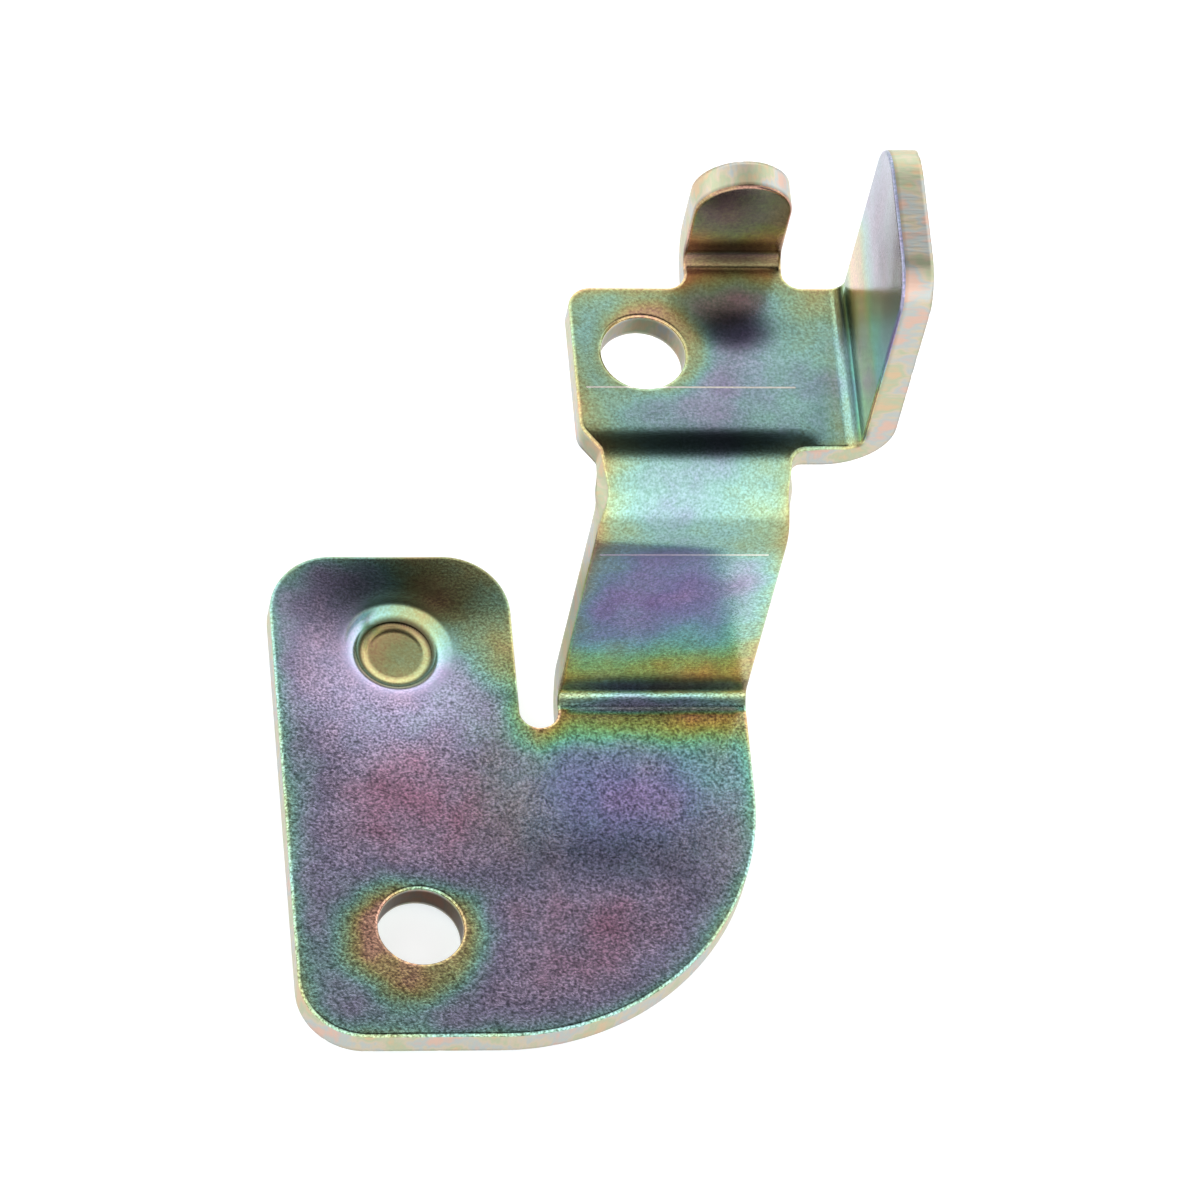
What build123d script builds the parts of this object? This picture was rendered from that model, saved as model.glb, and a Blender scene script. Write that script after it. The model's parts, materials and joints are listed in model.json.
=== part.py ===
"""Stamped metal bracket: one sheet of steel, cut out flat and folded four times.

A wide foot plate carries the main bolt hole, a pressed locating dimple and the ear beside the slot.
From the far side of the foot a neck stands straight up to a shelf, which has the second bolt hole.
The shelf has a tall side flange on its right and a short round-ended tab at its far edge.

The origin is on the axis of the main bolt hole, where it meets the underside of the foot.
X runs to the right, Y runs away towards the neck and the tab, and Z is up.  Sizes are millimetres.
"""

import os

from build123d import *

os.makedirs("parts", exist_ok=True)

# ---- the sheet -------------------------------------------------------------------------
sheet = 3.0                # thickness of the steel, the same everywhere
bend_inside = 1.5          # inside radius of the foot, flange and tab bends
crest_inside = 2.0         # inside radius of the softer bend at the top of the neck
heel_radius = 6.5          # outside radius of the flange bend, which is squeezed thinner
edge_roll = 0.3            # the small roll the press leaves along the upper edges

# ---- the foot plate --------------------------------------------------------------------
foot_width = 46.6          # across the foot, left edge to right edge
foot_length = 54.4         # near edge to the end of the ear
foot_left = 12.4           # from the main bolt hole to the left edge
foot_near = 12.2           # from the main bolt hole to the near edge
corner_radius = 6.5        # the three plain corners of the foot
belly_radius = 27.0        # the big round corner at the near right
main_hole = 8.4            # clearance hole for the main bolt
ear_width = 24.0
slot_width = 3.8           # the slot that frees the ear from the neck

# ---- the locating dimple in the ear ----------------------------------------------------
dimple_pitch = 31.8        # from the main bolt hole
dimple_mouth = 10.5        # where the rolled shoulder starts
dimple_throat = 7.6
dimple_ring = 7.0
dimple_floor = 5.7
dimple_depth = 1.9
dimple_roll = 0.7          # how deep the shoulder rolls before the throat turns steep
ring_height = 0.25         # the step up from the floor to the ring
pip_width = 7.2            # the round pip that the dimple pushes out underneath
pip_edge = 0.5

# ---- the neck --------------------------------------------------------------------------
neck_face = 25.8           # from the main bolt hole to the neck's near face
rise = 36.0                # from the top of the foot to the top of the shelf

# ---- the shelf -------------------------------------------------------------------------
shelf_depth = 18.4
shelf_overhang = 1.75      # how far the shelf reaches past the neck on the left
shelf_shoulder = 1.2       # plan radius where the neck meets the shelf's near edge
shelf_corner = 2.2
shelf_slant = 2.4          # how far up the left edge the slanted near corner reaches
shelf_hole = 8.2
shelf_hole_in = 6.85       # from the shelf's left edge to the hole's axis
shelf_hole_back = 7.5      # from the shelf's far edge to the hole's axis

# ---- the side flange -------------------------------------------------------------------
flange_reach = 9.45        # from the neck's right side to the outside of the flange
flange_height = 27.7       # above the top of the shelf
flange_near_corner = 4.0
flange_far_corner = 5.5

# ---- the round-ended tab ---------------------------------------------------------------
tab_width = 9.6
tab_height = 12.35         # above the top of the shelf
tab_root = 1.8             # plan radius at each side of the tab's root
tab_stem = 0.1             # straight stretch between the tab's roots and its fold
tab_gap = 0.45             # flat left between the tab's right root and the flange bend

# ---- places worked out from the sizes above --------------------------------------------
left, near = -foot_left, -foot_near
right, far = left + foot_width, near + foot_length
slot_left = left + ear_width
neck_left = slot_left + slot_width
neck_width = right - neck_left

shelf_top = sheet + rise
shelf_under = shelf_top - sheet
crest_end = neck_face + sheet + crest_inside          # the upper bend runs out flat here
shelf_near = crest_end + shelf_shoulder
shelf_far = shelf_near + shelf_depth
shelf_left = neck_left - shelf_overhang
flange_outer = right + flange_reach
flange_inner = flange_outer - sheet
flange_top = shelf_top + flange_height
tab_fold = shelf_far + tab_root + tab_stem
tab_face = tab_fold + bend_inside
tab_top = shelf_top + tab_height

foot_fold = neck_face - bend_inside                   # the lower bend starts here
flange_fold = flange_inner - bend_inside
heel_start = flange_outer - heel_radius
tab_right = heel_start - tab_gap - tab_root
tab_left = tab_right - tab_width


def flats_at(axis, place):
    """The flat faces that stand square to an axis at one place along it."""
    return faces().filter_by(axis).filter_by_position(axis, place - 0.01, place + 0.01)


with BuildPart() as bracket:
    # The foot: a plate with three plain corners, a big round belly and a slot beside the ear.
    # The slot's round end is centred on the line where the neck starts to fold.
    with BuildSketch():
        with BuildLine():
            Polyline(
                (left, near),
                (right, near),
                (right, foot_fold),
                (slot_left, foot_fold),
                (slot_left, far),
                (left, far),
                close=True,
            )
        make_face()
        belly = vertices().group_by(Axis.Y)[0].sort_by(Axis.X)[-1]
        fillet(belly, belly_radius)
        ear_corners = vertices().group_by(Axis.Y)[-1]
        near_corner = vertices().group_by(Axis.X)[0].sort_by(Axis.Y)[0]
        fillet(ear_corners + [near_corner], corner_radius)
        with Locations((slot_left + slot_width / 2, foot_fold)):
            Circle(slot_width / 2, mode=Mode.SUBTRACT)
    extrude(amount=sheet)

    # The neck in side view: off the foot, straight up, and over into the shelf.
    with BuildSketch(Plane.YZ.offset(neck_left)):
        with BuildLine():
            foot_top = Line((foot_fold - sheet, sheet), (foot_fold, sheet))
            foot_bend = TangentArc(foot_top @ 1, (neck_face, sheet + bend_inside), tangent=foot_top % 1)
            near_face = Line(foot_bend @ 1, (neck_face, shelf_under - crest_inside))
            crest = TangentArc(near_face @ 1, (crest_end, shelf_top), tangent=near_face % 1)
            shelf_skin = Line(crest @ 1, (shelf_near + sheet, shelf_top))
            shelf_end = Line(shelf_skin @ 1, (shelf_near + sheet, shelf_under))
            shelf_back = Line(shelf_end @ 1, (crest_end, shelf_under))
            crest_back = TangentArc(
                shelf_back @ 1, (neck_face + sheet, shelf_under - crest_inside), tangent=shelf_back % 1
            )
            far_face = Line(crest_back @ 1, (neck_face + sheet, sheet + bend_inside))
            foot_heel = TangentArc(far_face @ 1, (foot_fold, 0), tangent=far_face % 1)
            foot_back = Line(foot_heel @ 1, (foot_fold - sheet, 0))
            Line(foot_back @ 1, foot_top @ 0)
        make_face()
    extrude(amount=neck_width)

    # The shelf, with the root of the tab at its far edge.  Its near left corner is cut off at a
    # slant down to the neck, and on the right it meets the neck in a small round shoulder.
    with BuildSketch(Plane.XY.offset(shelf_under)):
        with BuildLine():
            shoulder = TangentArc(
                (right, crest_end), (right + shelf_shoulder, shelf_near), tangent=(0, 1)
            )
            Polyline(
                shoulder @ 1,
                (heel_start, shelf_near),
                (heel_start, shelf_far),
                (tab_right, shelf_far),
                (tab_right, tab_fold),
                (tab_left, tab_fold),
                (tab_left, shelf_far),
                (shelf_left, shelf_far),
                (shelf_left, shelf_near + shelf_slant),
                (neck_left, shelf_near),
                (neck_left, crest_end),
                shoulder @ 0,
            )
        make_face()
        left_corners = vertices().group_by(Axis.X)[0]
        fillet(left_corners, shelf_corner)
        tab_roots = vertices().group_by(Axis.Y)[-2].sort_by(Axis.X)[-3:-1]
        fillet(tab_roots, tab_root)
    extrude(amount=sheet)

    # The flange: the fold along the shelf's right side, squeezed thin at the heel, then the upright.
    with BuildSketch(Plane.XZ.offset(-shelf_far)):
        with BuildLine():
            fold_top = Line((heel_start, shelf_top), (flange_fold, shelf_top))
            fold_in = TangentArc(fold_top @ 1, (flange_inner, shelf_top + bend_inside), tangent=fold_top % 1)
            fold_side = Line(fold_in @ 1, (flange_inner, shelf_under + heel_radius))
            fold_end = Line(fold_side @ 1, (flange_outer, shelf_under + heel_radius))
            fold_out = TangentArc(fold_end @ 1, (heel_start, shelf_under), tangent=(0, -1))
            Line(fold_out @ 1, fold_top @ 0)
        make_face()
    extrude(amount=shelf_depth)
    with BuildSketch(Plane.YZ.offset(flange_inner)):
        with BuildLine():
            Polyline(
                (shelf_near, shelf_under + heel_radius),
                (shelf_far, shelf_under + heel_radius),
                (shelf_far, flange_top),
                (shelf_near, flange_top),
                close=True,
            )
        make_face()
        fillet(vertices().group_by(Axis.Y)[-1].sort_by(Axis.X)[0], flange_near_corner)
        fillet(vertices().group_by(Axis.Y)[-1].sort_by(Axis.X)[-1], flange_far_corner)
    extrude(amount=sheet)

    # The tab: a short fold, then an upright with a fully round end.
    with BuildSketch(Plane.YZ.offset(tab_left)):
        with BuildLine():
            tab_in = TangentArc((tab_fold, shelf_top), (tab_face, shelf_top + bend_inside), tangent=(1, 0))
            tab_end = Line(tab_in @ 1, (tab_face + sheet, shelf_top + bend_inside))
            tab_out = TangentArc(tab_end @ 1, (tab_fold, shelf_under), tangent=(0, -1))
            Line(tab_out @ 1, tab_in @ 0)
        make_face()
    extrude(amount=tab_width)
    with BuildSketch(Plane.XZ.offset(-tab_face - sheet)):
        with BuildLine():
            tab_side = Line((tab_right, shelf_top + bend_inside), (tab_right, tab_top - tab_width / 2))
            tab_crown = TangentArc(tab_side @ 1, (tab_left, tab_top - tab_width / 2), tangent=(0, 1))
            Polyline(tab_crown @ 1, (tab_left, shelf_top + bend_inside), tab_side @ 0)
        make_face()
    extrude(amount=sheet)

    # The two bolt holes.
    with Locations((0, 0, sheet)):
        Hole(main_hole / 2, depth=2 * sheet)
    with Locations((shelf_left + shelf_hole_in, shelf_far - shelf_hole_back, shelf_top)):
        Hole(shelf_hole / 2, depth=2 * sheet)

    # The press rolls the edges of the sheet's upper side over a little, all the way around.
    # That side is five flats and the four folds that join them, each touching two of the flats.
    flats = (
        flats_at(Axis.Z, sheet)
        + flats_at(Axis.Z, shelf_top)
        + flats_at(Axis.Y, neck_face)
        + flats_at(Axis.Y, tab_face)
        + flats_at(Axis.X, flange_inner)
    )
    flat_edges = flats.edges()
    folds = faces().filter_by(GeomType.CYLINDER).filter_by(
        lambda face: sum(edge in flat_edges for edge in face.edges()) == 2
    )
    upper_edges = [edge for face in flats + folds for edge in face.edges()]
    rim = [edge for edge in upper_edges if upper_edges.count(edge) == 1]
    fillet(rim, edge_roll)

    # The locating dimple: the pip that stands out underneath, then the round pocket that made it,
    # with a rolled shoulder at its mouth, a steep throat and a narrow ring around its floor.
    dimple_axis = Axis((0, dimple_pitch, 0), (0, 0, 1))
    with BuildSketch(Plane.XZ.offset(-dimple_pitch)):
        with BuildLine():
            Polyline(
                (0, sheet / 2),
                (pip_width / 2, sheet / 2),
                (pip_width / 2, -dimple_depth),
                (0, -dimple_depth),
                close=True,
            )
        make_face()
        fillet(vertices().group_by(Axis.Y)[0].sort_by(Axis.X)[-1], pip_edge)
    revolve(axis=dimple_axis)
    with BuildSketch(Plane.XZ.offset(-dimple_pitch)):
        with BuildLine():
            dimple_shoulder = TangentArc(
                (dimple_mouth / 2, sheet), (dimple_throat / 2, sheet - dimple_roll), tangent=(-1, 0)
            )
            Polyline(
                dimple_shoulder @ 1,
                (dimple_ring / 2, sheet - dimple_depth + ring_height),
                (dimple_floor / 2, sheet - dimple_depth),
                (0, sheet - dimple_depth),
                (0, sheet),
                dimple_shoulder @ 0,
            )
        make_face()
    revolve(axis=dimple_axis, mode=Mode.SUBTRACT)


bracket.part.label = "bracket"
export_step(bracket.part, "parts/bracket.step")
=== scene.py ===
# %% [markdown]
# # A stamped metal bracket, from flat blank to plated part
#
# The real bracket is one piece of 3 mm steel sheet.  A press cuts it out flat, sinks a dimple in
# its ear, and folds it four times.  Then it is zinc plated and dipped in a chromate bath, which
# leaves a thin film that shows rainbow colours.
#
# This lesson makes it in the same order.  The flat blank is a mesh, a Geometry Nodes tree folds
# it, and the finish follows how far each point lies from the cut edges and the folds.

# %% Load the measured solid
import json
import math

import bpy
import numpy as np
from mathutils import Matrix, Vector
from mathutils.geometry import delaunay_2d_cdt


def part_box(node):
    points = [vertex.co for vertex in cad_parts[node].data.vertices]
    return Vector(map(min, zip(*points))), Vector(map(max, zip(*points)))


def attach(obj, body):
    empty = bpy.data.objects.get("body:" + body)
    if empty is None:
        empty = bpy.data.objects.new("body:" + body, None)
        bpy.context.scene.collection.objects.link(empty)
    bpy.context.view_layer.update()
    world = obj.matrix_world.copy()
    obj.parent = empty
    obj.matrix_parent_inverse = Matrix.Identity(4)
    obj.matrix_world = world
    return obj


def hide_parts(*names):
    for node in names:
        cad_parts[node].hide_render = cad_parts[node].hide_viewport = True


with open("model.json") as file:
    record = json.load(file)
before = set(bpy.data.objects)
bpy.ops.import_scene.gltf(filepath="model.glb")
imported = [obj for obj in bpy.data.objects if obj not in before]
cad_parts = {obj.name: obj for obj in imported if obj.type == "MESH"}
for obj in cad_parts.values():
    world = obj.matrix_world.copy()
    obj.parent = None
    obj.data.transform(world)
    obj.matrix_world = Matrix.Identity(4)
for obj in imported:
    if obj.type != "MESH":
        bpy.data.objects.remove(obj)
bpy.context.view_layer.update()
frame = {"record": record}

MM = 0.001                                  # one millimetre, in Blender's metres

low, high = (np.array(corner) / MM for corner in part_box("bracket"))
mounts = {mount["name"]: mount for mount in frame["record"]["mounts"]}
print("the solid spans", np.round(high - low, 2), "mm")

# %% [markdown]
# ## Sizes
#
# The outer sizes come from the solid's box and from its mounts: the two bolt holes and the pip.
# What a box can't tell is named here: the sheet, its bends and its corners.  A size that only
# one piece of the work needs is named later, beside that work.

# %% Sizes of the sheet and of the folded bracket, in millimetres
SHEET = 3.0
BEND_INSIDE = 1.5                           # foot, flange and tab bends
CREST_INSIDE = 2.0                          # the softer bend at the top of the neck
HEEL_RADIUS = 6.5                           # outside of the flange bend
CREST_RADIUS = 8.5                          # outside of the crest
EDGE_ROLL = 0.3                             # the roll that the cutting press leaves on the rim

FOOT_WIDTH = 46.6
FOOT_LENGTH = 54.4
EAR_WIDTH = 24.0
SLOT_WIDTH = 3.8
NECK_FACE = 25.8                            # from the main hole to the neck's near face
RISE = 36.0                                 # from the top of the foot to the top of the shelf
SHELF_OVERHANG = 1.75
SHELF_SHOULDER = 1.2
SHELF_DEPTH = 18.4
SHELF_SLANT = 2.4
TAB_WIDTH = 9.6
TAB_HEIGHT = 12.35                          # above the top of the shelf
TAB_ROOT = 1.8
TAB_GAP = 0.45                              # flat left between the tab's root and the heel


def place_of(mount_name):
    """Where a mount is, in millimetres."""
    return np.array(mounts[mount_name]["pos_m"]) / MM


left, near = low[0], low[1]
right, far = left + FOOT_WIDTH, near + FOOT_LENGTH
slot_left = left + EAR_WIDTH
neck_left = slot_left + SLOT_WIDTH
shelf_left = neck_left - SHELF_OVERHANG
shelf_top = SHEET + RISE
crest_end = NECK_FACE + SHEET + CREST_INSIDE
flange_top, flange_outer = high[2], high[0]
print("foot", round(right - left, 2), "x", round(far - near, 2), "mm, shelf top at", shelf_top)

# %% [markdown]
# ## The flat blank's layout
#
# A folded sheet is as long as its middle layer, because the inside of a bend is squeezed and the
# outside is stretched.  So a quarter bend uses up (inside radius + half the sheet) times a
# quarter of a full turn.  Adding the straight runs and the bends up in order gives where each
# part lies on the flat blank.  On the blank, `a` runs to the right and `b` runs away.

# %% Unfold the lengths
QUARTER = math.pi / 2


def bend_length(inside_radius):
    """How much of the blank one right-angle bend uses."""
    return (inside_radius + SHEET / 2) * QUARTER


foot_fold_b = NECK_FACE - BEND_INSIDE                       # the foot ends and the neck folds up
neck_b = foot_fold_b + bend_length(BEND_INSIDE)
crest_fold_b = neck_b + RISE - SHEET - BEND_INSIDE - CREST_INSIDE
shelf_b = crest_fold_b + bend_length(CREST_INSIDE)          # the shelf is flat from here on
shelf_near_b = shelf_b + SHELF_SHOULDER
shelf_far_b = shelf_near_b + SHELF_DEPTH
tab_fold_b = shelf_b + (high[1] - SHEET - BEND_INSIDE) - crest_end
tab_end_b = tab_fold_b + bend_length(BEND_INSIDE) + TAB_HEIGHT - BEND_INSIDE

flange_fold_a = flange_outer - SHEET - BEND_INSIDE
flange_end_a = flange_fold_a + bend_length(BEND_INSIDE) + flange_top - shelf_top - BEND_INSIDE
heel_a = flange_outer - HEEL_RADIUS
tab_right = heel_a - TAB_GAP - TAB_ROOT
tab_left = tab_right - TAB_WIDTH
print("flat blank:", round(flange_end_a - left, 2), "x", round(tab_end_b - near, 2), "mm")

# %% [markdown]
# ## The cut outline
#
# A blanking die is drawn as straight runs with a radius at each corner, so the outline is a list
# of corners in order, each with its radius.  `rounded_loop` walks around and lays points along
# the straights and the arcs, closer together on small arcs.  The sheet always lies on the left
# of the walk, so a hole is walked the other way.

# %% Walk around rounded corners
STEP = 0.42                                 # spacing of the points along a cut edge
ARC_SHARE = 0.18                            # and on an arc, at most this share of its radius
FEWEST = 4                                  # points on the smallest arc


def corner_arc(before, corner, after, radius):
    """Start, end, centre, radius and sweep of the arc that rounds the middle one of 3 corners."""
    back, ahead = before - corner, after - corner
    back /= np.linalg.norm(back)
    ahead /= np.linalg.norm(ahead)
    half = math.acos(np.clip(back @ ahead, -1, 1)) / 2
    middle = (back + ahead) / np.linalg.norm(back + ahead)
    start = corner + back * radius / math.tan(half)
    end = corner + ahead * radius / math.tan(half)
    return start, end, corner + middle * radius / math.sin(half), radius, math.pi - 2 * half


def rounded_loop(corners):
    """Points around a closed outline whose corners are (a, b, radius)."""
    at = [np.array(corner[:2]) for corner in corners]
    arcs = [
        corner_arc(at[index - 1], at[index], at[(index + 1) % len(at)], corners[index][2])
        for index in range(len(at))
    ]
    points = []
    for index, (start, end, centre, radius, sweep) in enumerate(arcs):
        count = max(FEWEST, math.ceil(radius * sweep / min(STEP, radius * ARC_SHARE)))
        first = start - centre
        turn = math.copysign(sweep, first[0] * (end - centre)[1] - first[1] * (end - centre)[0])
        for part in range(count):
            angle = turn * part / count
            cos, sin = math.cos(angle), math.sin(angle)
            points.append(centre + (first[0] * cos - first[1] * sin, first[0] * sin + first[1] * cos))
        run = arcs[(index + 1) % len(arcs)][0] - end
        length = np.linalg.norm(run)
        if length > 1e-6:                   # two arcs that meet have no straight run between
            pieces = max(1, math.ceil(length / STEP))
            points += [end + run * part / pieces for part in range(pieces)]
    return np.array(points)


print("points are at most", STEP, "mm apart along a cut edge")

# %% The outline
FOOT_CORNER = 6.5
BELLY_RADIUS = 27.0                         # the foot's big round corner
FLANGE_NEAR_CORNER, FLANGE_FAR_CORNER = 4.0, 5.5
SHELF_CORNER = 2.2
NECK_CORNER = 0.8
SLOT_END = SLOT_WIDTH / 2

outline = rounded_loop([
    (left, near, FOOT_CORNER),
    (right, near, BELLY_RADIUS),
    (right, shelf_near_b, SHELF_SHOULDER),
    (flange_end_a, shelf_near_b, FLANGE_NEAR_CORNER),
    (flange_end_a, shelf_far_b, FLANGE_FAR_CORNER),
    (tab_right, shelf_far_b, TAB_ROOT),
    (tab_right, tab_end_b, TAB_WIDTH / 2),
    (tab_left, tab_end_b, TAB_WIDTH / 2),
    (tab_left, shelf_far_b, TAB_ROOT),
    (shelf_left, shelf_far_b, SHELF_CORNER),
    (shelf_left, shelf_near_b + SHELF_SLANT, SHELF_CORNER),
    (neck_left, shelf_near_b, NECK_CORNER),
    (neck_left, foot_fold_b - SLOT_END, SLOT_END),
    (slot_left, foot_fold_b - SLOT_END, SLOT_END),
    (slot_left, far, FOOT_CORNER),
    (left, far, FOOT_CORNER),
])
print("outline:", len(outline), "points")

# %% The two bolt holes
def round_loop(centre, radius, step):
    """Points around a hole, walked clockwise so that the sheet is on the left."""
    count = math.ceil(2 * math.pi * radius / step)
    angles = -2 * math.pi * np.arange(count) / count
    return np.stack([centre[0] + radius * np.cos(angles), centre[1] + radius * np.sin(angles)], 1)


main_hole = place_of("main_bore")[:2]
shelf_hole = place_of("shelf_bore")[:2] + (0, shelf_b - crest_end)
main_radius = mounts["main_bore"]["dims"]["r_mm"]
shelf_radius = mounts["shelf_bore"]["dims"]["r_mm"]
loops = [
    outline,
    round_loop(main_hole, main_radius, STEP),
    round_loop(shelf_hole, shelf_radius, STEP),
]
print("cut edge points:", [len(loop) for loop in loops])

# %% [markdown]
# ## The pressed dimple
#
# A round punch sinks a pocket into the ear and pushes a pip out below.  Both are bodies of
# revolution, so each is a height that depends only on the distance from the dimple's axis.  The
# sheet around a deep dimple is always dished a little too, which gives the soft glow before it and
# part of the dark shade behind it on the plated part; the rest of that shade is painted on later.

# %% The pocket's profile
DIMPLE_MOUTH = 5.6                          # radius where the shoulder starts
DIMPLE_THROAT = 3.8
DIMPLE_RING = 3.5
DIMPLE_FLOOR = 2.85
SHOULDER_DROP = 0.95
RING_DROP = 1.65
SHOULDER_POINTS = 9

dimple = place_of("locating_pip")[:2]
dimple_depth = -low[2]
shoulder_run = DIMPLE_MOUTH - DIMPLE_THROAT
shoulder_radius = (shoulder_run**2 + SHOULDER_DROP**2) / (2 * SHOULDER_DROP)
shoulder = np.linspace(DIMPLE_THROAT, DIMPLE_MOUTH, SHOULDER_POINTS)
shoulder_depth = shoulder_radius - np.sqrt(shoulder_radius**2 - (DIMPLE_MOUTH - shoulder) ** 2)
pocket = [                                  # (radius, depth), with each corner eased a little
    (0, dimple_depth),
    (DIMPLE_FLOOR - 0.1, dimple_depth),
    (DIMPLE_FLOOR + 0.05, dimple_depth - 0.03),
    (DIMPLE_RING - 0.08, RING_DROP + 0.03),
    (DIMPLE_RING + 0.02, RING_DROP - 0.08),
]
pocket_radii, pocket_depths = np.array(pocket + list(zip(shoulder, shoulder_depth))).T
print("pocket", round(float(dimple_depth), 2), "mm deep, in", len(pocket_radii), "rings")

# %% The pip's profile
PIP_EDGE = 0.5                              # the roll around the pip's end
PIP_DRAFT = 0.02                            # how much its wall leans out
PIP_POINTS = 7

pip_radius = mounts["locating_pip"]["dims"]["r_mm"]
pip_turn = np.linspace(0, QUARTER, PIP_POINTS)
pip_rim = pip_radius - PIP_EDGE + PIP_EDGE * np.sin(pip_turn)
pip_radii = np.concatenate([[0], pip_rim, [pip_radius + PIP_DRAFT]])
pip_depths = np.concatenate([[dimple_depth], dimple_depth - PIP_EDGE * (1 - np.cos(pip_turn)), [0]])
print("pip", round(2 * pip_radius, 2), "mm wide, in", len(pip_radii), "rings")

# %% Heights across the dimple
DISH_REACH = 15.0                           # the sheet is dished as far out as this
DISH_DEPTH = 1.1
FLOOR_RINGS, OUTER_RINGS = [0.7, 1.4, 2.1, 2.5], [5.9, 6.3, 6.8]


def pocket_depth(distance):
    """How far the upper side is pressed down at a distance from the dimple's axis."""
    dish = DISH_DEPTH * np.clip(1 - distance / DISH_REACH, 0, 1) ** 2
    shoulder_in = np.clip((distance - DIMPLE_RING) / (DIMPLE_THROAT - DIMPLE_RING), 0, 1)
    return np.interp(distance, pocket_radii, pocket_depths) + dish * shoulder_in


def pip_depth(distance):
    """How far the lower side stands out at a distance from the dimple's axis."""
    return np.interp(distance, pip_radii, pip_depths)


dimple_rings = np.unique(np.round(np.concatenate([
    FLOOR_RINGS, pocket_radii[1:], pip_radii[1:], OUTER_RINGS,
]), 3))
print("dimple rings:", len(dimple_rings), "out to", dimple_rings[-1], "mm")

# %% [markdown]
# ## Filling the blank with points
#
# A bend only looks round if rows of points run along it.  So the blank gets a grid whose rows
# and columns close up where the sheet will fold, rings that follow the cut edges for the rolled
# rim, and rings around the dimple.  `delaunay_2d_cdt` joins them all into triangles, which is
# far less work than making quads fit such an outline.

# %% Rows and columns of the grid
GRID = 0.62                                 # spacing on the flats
BEND_ROWS = 16                              # rows of points across one bend
CREST_MARGIN, CREST_MARGIN_ROWS = 4.0, 10   # the crest is rounder, so its rows reach further
FLANGE_MARGIN, HEEL_ROWS = 2.0, 6


def spaced(stops):
    """Positions through the stops: (start, end, number of steps or None for the grid's own)."""
    positions = []
    for start, end, count in stops:
        count = count or max(1, round((end - start) / GRID))
        positions += list(start + (end - start) * np.arange(count) / count)
    return np.array(positions)


tab_flat_b = tab_fold_b + bend_length(BEND_INSIDE)
flange_flat_a = flange_fold_a + bend_length(BEND_INSIDE)
rows = spaced([
    (near, foot_fold_b, None),
    (foot_fold_b, neck_b, BEND_ROWS),
    (neck_b, crest_fold_b - CREST_MARGIN, None),
    (crest_fold_b - CREST_MARGIN, crest_fold_b, CREST_MARGIN_ROWS),
    (crest_fold_b, shelf_b, BEND_ROWS),
    (shelf_b, shelf_b + CREST_MARGIN, CREST_MARGIN_ROWS),
    (shelf_b + CREST_MARGIN, tab_fold_b, None),
    (tab_fold_b, tab_flat_b, BEND_ROWS),
    (tab_flat_b, tab_end_b, None),
])
columns = spaced([
    (left, heel_a, None),
    (heel_a, flange_fold_a, HEEL_ROWS),
    (flange_fold_a, flange_flat_a, BEND_ROWS),
    (flange_flat_a, flange_flat_a + FLANGE_MARGIN, HEEL_ROWS),
    (flange_flat_a + FLANGE_MARGIN, flange_end_a, None),
])
print("grid:", len(columns), "columns and", len(rows), "rows")

# %% Measure from a cut edge, and tell what is on the sheet
AT_ONCE = 1000                              # points measured in one go, to save memory


def distance_to(points, loop):
    """Distance from each point to a closed loop of straight pieces."""
    starts, ends = loop, np.roll(loop, -1, 0)
    runs = ends - starts
    lengths = (runs**2).sum(1)
    best = np.full(len(points), np.inf)
    for chunk in range(0, len(points), AT_ONCE):
        some = points[chunk:chunk + AT_ONCE, None, :] - starts
        share = np.clip((some * runs).sum(2) / lengths, 0, 1)
        gap = some - share[:, :, None] * runs
        best[chunk:chunk + AT_ONCE] = np.sqrt((gap**2).sum(2).min(1))
    return best


def inside(points, loop):
    """Whether each point is within a closed loop, by counting the edges to its right."""
    starts, ends = loop, np.roll(loop, -1, 0)
    crossings = np.zeros(len(points), int)
    for (a0, b0), (a1, b1) in zip(starts, ends):
        spans = (b0 > points[:, 1]) != (b1 > points[:, 1])
        if spans.any():
            cut = a0 + (points[spans, 1] - b0) / (b1 - b0) * (a1 - a0)
            crossings[np.flatnonzero(spans)[points[spans, 0] < cut]] += 1
    return crossings % 2 == 1


def in_sheet(points):
    """Whether each point is on the blank and not in a hole."""
    return inside(points, loops[0]) & ~inside(points, loops[1]) & ~inside(points, loops[2])


grid = np.stack(np.meshgrid(columns, rows), -1).reshape(-1, 2)
grid = grid[in_sheet(grid)]
print("grid points on the sheet:", len(grid))

# %% Add the rings, and keep the grid clear of them
RIM_RINGS = [0.05, 0.12, 0.2, 0.3, 0.42, 0.7]   # how far each ring lies inside the cut edge
GRID_GAP = 0.3                              # from the last ring to the grid
RING_STEP, RING_SHARE = 0.28, 0.07          # spacing around the dimple, and its share of a radius


def inward(loop):
    """Unit vectors from a cut edge into the sheet, square to the edge."""
    along = np.roll(loop, -1, 0) - np.roll(loop, 1, 0)
    along /= np.linalg.norm(along, axis=1)[:, None]
    return np.stack([-along[:, 1], along[:, 0]], 1)


clear = np.min([distance_to(grid, loop) for loop in loops], axis=0) > RIM_RINGS[-1] + GRID_GAP
clear &= np.linalg.norm(grid - dimple, axis=1) > dimple_rings[-1] + GRID_GAP
rim_points = [loop + inward(loop) * inset for loop in loops for inset in RIM_RINGS]
ring_points = [
    round_loop(dimple, radius, max(RING_STEP, radius * RING_SHARE)) for radius in dimple_rings
]
side_points = np.concatenate(loops + rim_points + ring_points + [dimple[None], grid[clear]])
print("points on one side of the blank:", len(side_points))

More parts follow.
